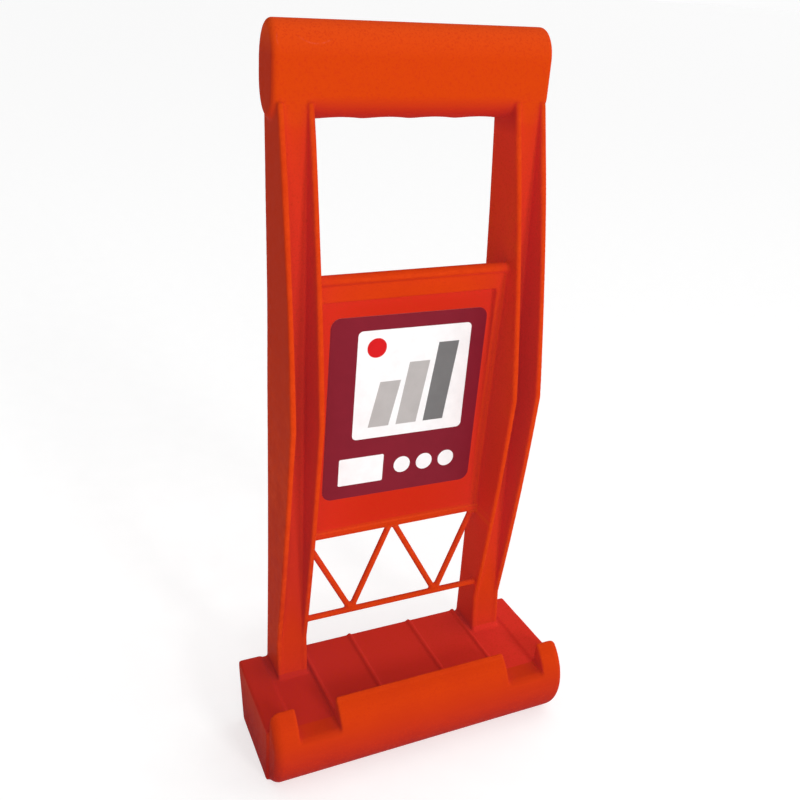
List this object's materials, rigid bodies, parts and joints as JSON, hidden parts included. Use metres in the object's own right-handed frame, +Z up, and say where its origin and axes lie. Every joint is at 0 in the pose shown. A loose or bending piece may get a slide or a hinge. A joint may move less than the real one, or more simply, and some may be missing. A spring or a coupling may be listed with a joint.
{
  "type": "panel carrier",
  "caption": "Upright hand carrier for boards: channel rails joined by a grip bar on top, a label panel and a zigzag brace, on a lipped tray foot that holds the board's edge.",
  "frame": {"origin": "on the floor, under the front face of the legs at the tray, midway between the two rails", "axes": "+Z up from the floor to the grip bar, +X to the right as seen from the front, and -Y to the front, the way the tray opens"},
  "size_m": [0.164, 0.0842, 0.3494],
  "materials": {
    "moulding": "matte, fine-grained moulded polypropylene",
    "label": "printed film label, satin"
  },
  "bodies": {
    "root": {"handle": "moulding", "left_outer_flange": "moulding", "left_web": "moulding", "left_inner_flange": "moulding", "right_outer_flange": "moulding", "right_web": "moulding", "right_inner_flange": "moulding", "label_field": "moulding", "panel_frame": "moulding", "top_bead": "moulding", "low_bead": "moulding", "truss_braces": "moulding", "truss_bar": "moulding", "tray_floor": "moulding", "floor_pads": "moulding", "floor_ridges": "moulding", "nose_wall": "moulding", "base_plate": "moulding", "foot_ribs": "moulding", "left_end": "moulding", "right_end": "moulding", "centre_lip": "moulding", "left_ear": "moulding", "right_ear": "moulding", "label": "label"}
  },
  "joints": []
}
